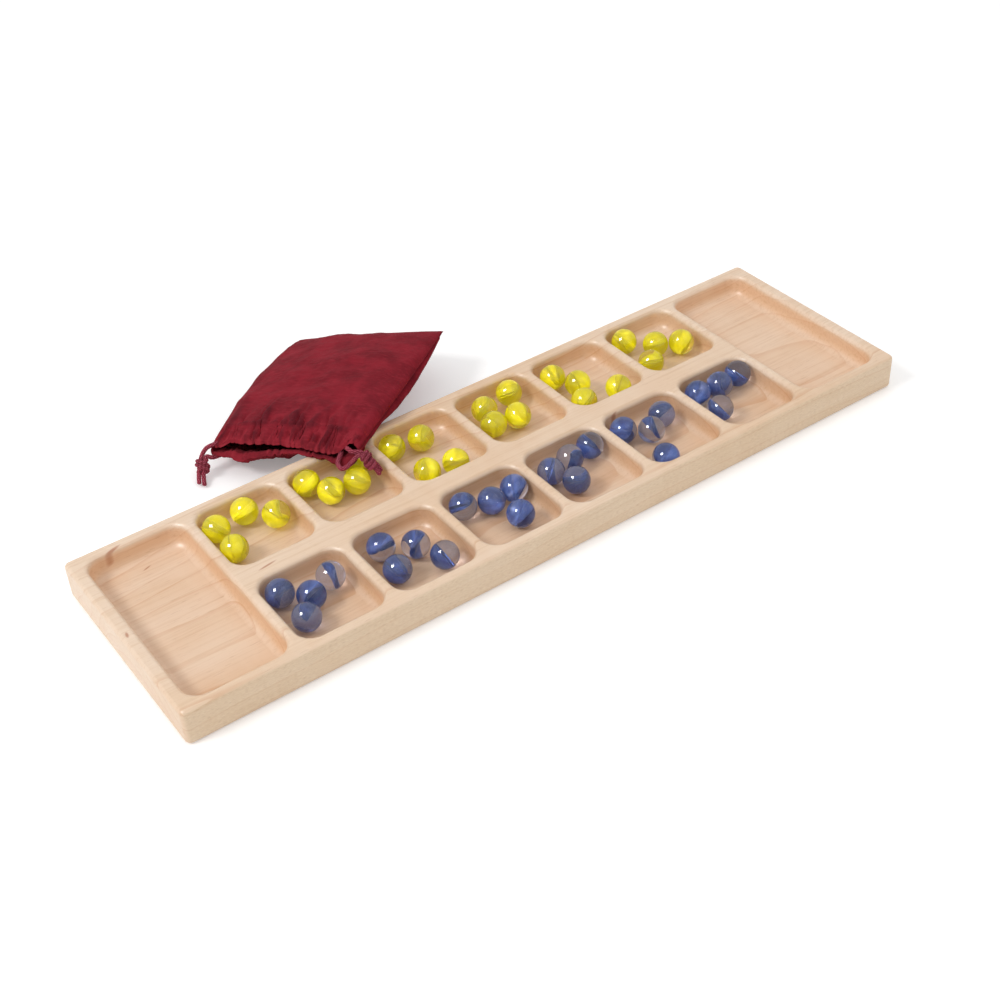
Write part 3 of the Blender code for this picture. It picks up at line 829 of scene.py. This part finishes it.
def cotton(name, main, light, dark, weave, painted_relief_shading=0.0):
    """Woven or braided cotton with lint, slubs and faded patches, with painted highlights on its crests and
    painted shade in its valleys.
    """
    # deep is the colour of the painted shade in the valleys and along the side seam
    deep = (0.04, 0.003, 0.008, 1)
    n = Nodes(name, Roughness=0.92, Sheen_Weight=0.05, Sheen_Roughness=0.5)
    n.shader.inputs["Specular IOR Level"].default_value = 0.12
    n.shader.inputs["Sheen Tint"].default_value = rgb(226, 96, 108)
    p = n.place()
    warp = n.add("ShaderNodeMapping", inputs={"Vector": p, "Rotation": (0, 0, -MOUTH_TURN)}).outputs["Vector"]
    x, y, z = n.split(warp)
    cloud = n.noise(warp, 55.0, 4.0, 0.6)
    slub = n.noise(n.scaled(warp, (150, 900, 500)), 1.0, 3.0, 0.6)
    lint = n.noise(warp, 1700.0, 2.0, 0.6)
    colour = n.mix(n.span(cloud, 0.32, 0.70), dark, main)
    colour = n.mix(n.span(slub, 0.45, 0.80, 0.0, 0.45), colour, light)
    colour = n.mix(n.span(slub, 0.42, 0.20, 0.0, 0.35), colour, dark)
    colour = n.mix(n.span(lint, 0.66, 0.80, 0.0, 0.35), colour, light)
    crest = n.add("ShaderNodeAttribute", attribute_name="crest").outputs["Fac"]
    # painted highlight on the crests, and painted shade in the valleys and along the side seam, from the
    # crest attribute
    colour = n.mix(n.span(crest, 0.0003, 0.0013, 0.0, painted_relief_shading), colour, light)
    colour = n.mix(n.span(crest, -0.0002, -0.0016, 0.0, painted_relief_shading), colour, deep)
    rows = n.math("SINE", n.math("MULTIPLY", y, 2 * math.pi / weave))
    files = n.math("SINE", n.math("MULTIPLY", x, 2 * math.pi / weave))
    threads = n.math("MULTIPLY", rows, files)
    colour = n.mix(n.span(threads, -0.2, -1.0, 0.0, 0.22), colour, dark)
    n.put(colour, n.shader.inputs["Base Color"])
    height = n.math("ADD", n.math("MULTIPLY", threads, 0.35), n.math("MULTIPLY", slub, 1.2))
    n.bump(n.math("ADD", height, n.math("MULTIPLY", cloud, 2.0)), 0.4, 0.0003)
    return n.material


# Drawstrings: radius of a cord and of a knot's strand over their crests, the braid's strands each way
# and its half pitch
CORD, KNOT_STRAND = 0.00134, 0.00115
BRAID_STRANDS, BRAID_PITCH = 7, 0.00135

# Each knot's middle and the way its two cords run through it
KNOT_PLACES = {
    "left": (Vector((-0.1356, 0.1168, 0.0080)), Vector((-0.54, -0.51, -0.67))),
    "right": (Vector((-0.0689, 0.0368, 0.0280)), Vector((0.45, -0.66, -0.60))),
}
KNOT_REACH, CORD_APART = 0.0052, 0.00145

# Each cord: its side, on which side of the knot's middle it runs, and its points; None is the knot
ROUTES = {
    "left_upper": (
        "left",
        1,
        [
            (-0.1214, 0.1210, 0.0160),
            (-0.1247, 0.1211, 0.0161),
            (-0.1296, 0.1215, 0.0152),
            None,
            (-0.1422, 0.1103, 0.0016),
        ],
    ),
    "left_lower": (
        "left",
        -1,
        [
            (-0.1199, 0.1160, 0.0107),
            (-0.1257, 0.1174, 0.0099),
            (-0.1288, 0.1172, 0.0108),
            None,
            (-0.1404, 0.1069, 0.0016),
        ],
    ),
    "right_upper": (
        "right",
        -1,
        [
            (-0.0738, 0.0545, 0.0294),
            (-0.0741, 0.0502, 0.0309),
            (-0.0741, 0.0445, 0.0317),
            None,
            (-0.0639, 0.0316, 0.0205),
        ],
    ),
    "right_lower": (
        "right",
        1,
        [
            (-0.0752, 0.0545, 0.0277),
            (-0.0790, 0.0504, 0.0279),
            (-0.0830, 0.0466, 0.0268),
            (-0.0837, 0.0418, 0.0260),
            (-0.0803, 0.0408, 0.0264),
            (-0.0768, 0.0414, 0.0276),
            None,
            (-0.0660, 0.0296, 0.0203),
        ],
    ),
}


def knot_axes(side):
    """A knot's middle, the way through it and the way beside it."""
    middle, along = KNOT_PLACES[side]
    along = along.normalized()
    beside = along.cross(Vector((0, 0, 1))).normalized()
    return middle, along, beside


def cord_route(side, shift, route):
    """The cord's line: through its points, straight where it runs in the knot, at even steps."""
    middle, along, beside = knot_axes(side)
    points = []
    for point in route:
        if point is None:
            for reach in (-1.05, 0, 1.05):
                points.append(middle + along * KNOT_REACH * reach + beside * shift * CORD_APART)
        else:
            points.append(Vector(point))
    dense = []
    for i in range(len(points) - 1):
        before, start, end = points[max(i - 1, 0)], points[i], points[i + 1]
        after = points[min(i + 2, len(points) - 1)]
        for k in range(24):
            t = k / 24
            bend = (2 * before - 5 * start + 4 * end - after) * t**2
            twist = (3 * start - before - 3 * end + after) * t**3
            dense.append((2 * start + (end - before) * t + bend + twist) / 2)
    dense.append(points[-1])
    return even_line(np.array(dense), 0.00014)


def even_line(points, gap):
    """The same line with its points about a gap apart."""
    steps = np.linalg.norm(np.diff(points, axis=0), axis=1)
    along = np.concatenate([[0], np.cumsum(steps)])
    places = np.linspace(0, along[-1], max(int(round(along[-1] / gap)), 8) + 1)
    return np.stack([np.interp(places, along, points[:, k]) for k in range(3)], -1)


def braided(name, line, radius, closed=False, around=42):
    """A round braid: strands that run both ways round the cord and pass over and under each other."""
    count = len(line)
    if closed:
        way = np.roll(line, -1, 0) - np.roll(line, 1, 0)
    else:
        way = np.gradient(line, axis=0)
    way = way / np.linalg.norm(way, axis=1, keepdims=True)
    side = np.cross(way[0], (0.31, 0.17, 0.93))
    side = side / np.linalg.norm(side)
    sides = []
    for k in range(count):
        side = side - way[k] * (side @ way[k])
        side = side / np.linalg.norm(side)
        sides.append(side)
    sides = np.array(sides)
    other = np.cross(way, sides)
    angle = np.arange(around) / around * 2 * np.pi
    length = np.linalg.norm(np.diff(line, axis=0), axis=1).sum()
    place = np.linspace(0, length, count)
    turns_along = place / (2 * BRAID_PITCH)
    p = BRAID_STRANDS * angle[None, :] / (2 * np.pi) + turns_along[:, None]
    q = BRAID_STRANDS * angle[None, :] / (2 * np.pi) - turns_along[:, None]
    near_p, near_q = np.round(p), np.round(q)
    one = 0.6 * np.sqrt(np.maximum(1 - (2 * (p - near_p)) ** 2, 0)) + 0.42 * np.cos(np.pi * (q + near_p))
    two = 0.6 * np.sqrt(np.maximum(1 - (2 * (q - near_q)) ** 2, 0)) - 0.42 * np.cos(np.pi * (p + near_q))
    height = np.maximum(one, two)
    size = radius * (0.80 + 0.21 * height)
    if not closed:
        # the ends are rounded off
        from_end = np.minimum(place, length - place)
        rounding = 1 - np.maximum(1 - from_end / (radius * 0.8), 0) ** 2
        size = size * np.sqrt(np.clip(rounding, 0.0004, 1))[:, None]
    points = line[:, None, :] + size[..., None] * (
        np.cos(angle)[None, :, None] * sides[:, None, :] + np.sin(angle)[None, :, None] * other[:, None, :]
    )
    mesh = grid_mesh(name, points, wrap_u=closed, wrap_v=True)
    # the strands' crests get painted highlights and the gaps between them painted shade, through the cotton's
    # colour
    set_crest(mesh, (height - 0.72) * 0.006)
    return mesh


def knot_lines(side):
    """Two strands side by side that pass twice round the cords, one turn over the other."""
    middle, along, beside = knot_axes(side)
    across = beside.cross(along)
    axes = np.array((beside, across, along))
    turn = np.linspace(0, 4 * np.pi, 420, endpoint=False)
    start = 2.2 if side == "left" else 1.2
    lines = []
    for shift in (-1, 1):
        reach = 0.00245 + 0.00105 * np.cos(turn / 2 + start)
        local = np.stack(
            [
                reach * np.cos(turn) * 1.10,
                reach * np.sin(turn) * 0.92,
                0.0027 * np.sin(turn / 2 + start) + shift * 0.00112 + 0.0006 * np.cos(turn),
            ],
            -1,
        )
        lines.append(local @ axes + np.array(middle))
    return lines


def join_meshes(name, meshes):
    """Makes one mesh of several."""
    bm = bmesh.new()
    for mesh in meshes:
        bm.from_mesh(mesh)
        bpy.data.meshes.remove(mesh)
    bmesh.ops.recalc_face_normals(bm, faces=bm.faces)
    joined = bpy.data.meshes.new(name)
    bm.to_mesh(joined)
    bm.free()
    return joined


def make_cords(cotton_cord):
    """The knots, and the four free ends of the cords."""
    for side in KNOT_PLACES:
        name = f"cord_knot_{side}"
        strands = [braided(name, line, KNOT_STRAND, closed=True, around=32) for line in knot_lines(side)]
        piece = new_object(name, join_meshes(name, strands), cotton_cord)
        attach(piece, "bag")
        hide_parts(f"knot_{side}")
    for name, (side, shift, route) in ROUTES.items():
        line = cord_route(side, shift, route)
        mesh = braided(f"cord_{name}", line, CORD)
        bm = bmesh.new()
        bm.from_mesh(mesh)
        bmesh.ops.holes_fill(bm, edges=bm.edges, sides=0)
        bmesh.ops.recalc_face_normals(bm, faces=bm.faces)
        bm.to_mesh(mesh)
        bm.free()
        piece = new_object(f"cord_{name}", mesh, cotton_cord)
        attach(piece, "bag")
        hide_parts(f"drawstring_{name}")
        path = [tuple(map(float, point)) for point in line[:: max(len(line) // 30, 1)]]
        path[-1] = tuple(map(float, line[-1]))


def make_soft_goods():
    """The bag with its stitches, cords and knots."""
    # the last number of the cloth and the braid is how strongly their crests get painted highlights and their
    # valleys painted shade
    cloth = cotton("burgundy_cotton_cloth", rgb(142, 30, 44), rgb(164, 47, 59), rgb(112, 20, 32), 0.0007, 0.5)
    thread = cotton("burgundy_thread", rgb(128, 34, 46), rgb(160, 60, 72), rgb(100, 24, 34), 0.0003)
    cord = cotton("burgundy_braid", rgb(140, 36, 56), rgb(206, 104, 122), rgb(94, 20, 34), 0.0004, 0.85)
    bag, stitching = make_bag(cloth, thread)
    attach(bag, "bag")
    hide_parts("drawstring_bag")
    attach(stitching, "bag")
    make_cords(cord)


make_soft_goods()


# Floor, light and surroundings
TABLE = (0.93, 0.93, 0.93, 1)
TABLE_GLOW = 0.21
TABLE_HALF = 3
TABLE_LOW = -0.0003
SKY = 0.72

# Lamps: name, azimuth and elevation in degrees, distance, width and power.
# The softbox gives only the small bright reflections, no light on the table.
LAMPS = (
    ("key", 172, 47, 2.6, 0.70, 19.5),
    ("fill", -60, 55, 1.8, 1.3, 2.6),
    ("softbox", 176, 50, 1.6, 0.62, 26.0),
)


def make_stage():
    """A white table that keeps the shadows, a white room and three lamps."""
    n = Nodes("white_table", Roughness=0.9)
    n.shader.inputs["Base Color"].default_value = TABLE
    n.shader.inputs["Specular IOR Level"].default_value = 0.0
    rays = n.add("ShaderNodeLightPath").outputs
    seen = n.math("MAXIMUM", rays["Is Camera Ray"], rays["Is Glossy Ray"])
    seen = n.math("MAXIMUM", seen, rays["Is Transmission Ray"])
    n.shader.inputs["Emission Color"].default_value = (1, 1, 1, 1)
    n.put(n.math("MULTIPLY", seen, TABLE_GLOW), n.shader.inputs["Emission Strength"])
    mesh = bpy.data.meshes.new("floor")
    corners = [(x * TABLE_HALF, y * TABLE_HALF, 0) for x, y in ((-1, -1), (1, -1), (1, 1), (-1, 1))]
    mesh.from_pydata(corners, [], [(0, 1, 2, 3)])
    floor = new_object("floor", mesh, n.material, smooth=False)
    floor.location.z = TABLE_LOW

    world = bpy.data.worlds.new("studio")
    scene.world = world
    world.use_nodes = True
    world.node_tree.nodes["Background"].inputs["Color"].default_value = (1.0, 1.0, 1.0, 1)
    world.node_tree.nodes["Background"].inputs["Strength"].default_value = SKY

    for name, azimuth, elevation, far, size, power in LAMPS:
        light = bpy.data.lights.new(name, "AREA")
        light.shape = "DISK"
        light.size = size
        light.energy = power
        lamp = bpy.data.objects.new(name, light)
        a, e = math.radians(azimuth), math.radians(elevation)
        spot = Vector((math.cos(a) * math.cos(e), math.sin(a) * math.cos(e), math.sin(e)))
        lamp.location = spot * far
        lamp.rotation_euler = spot.to_track_quat("Z", "Y").to_euler()
        lamp.visible_diffuse = name != "softbox"
        scene.collection.objects.link(lamp)


make_stage()
scene.view_settings.view_transform = "Standard"
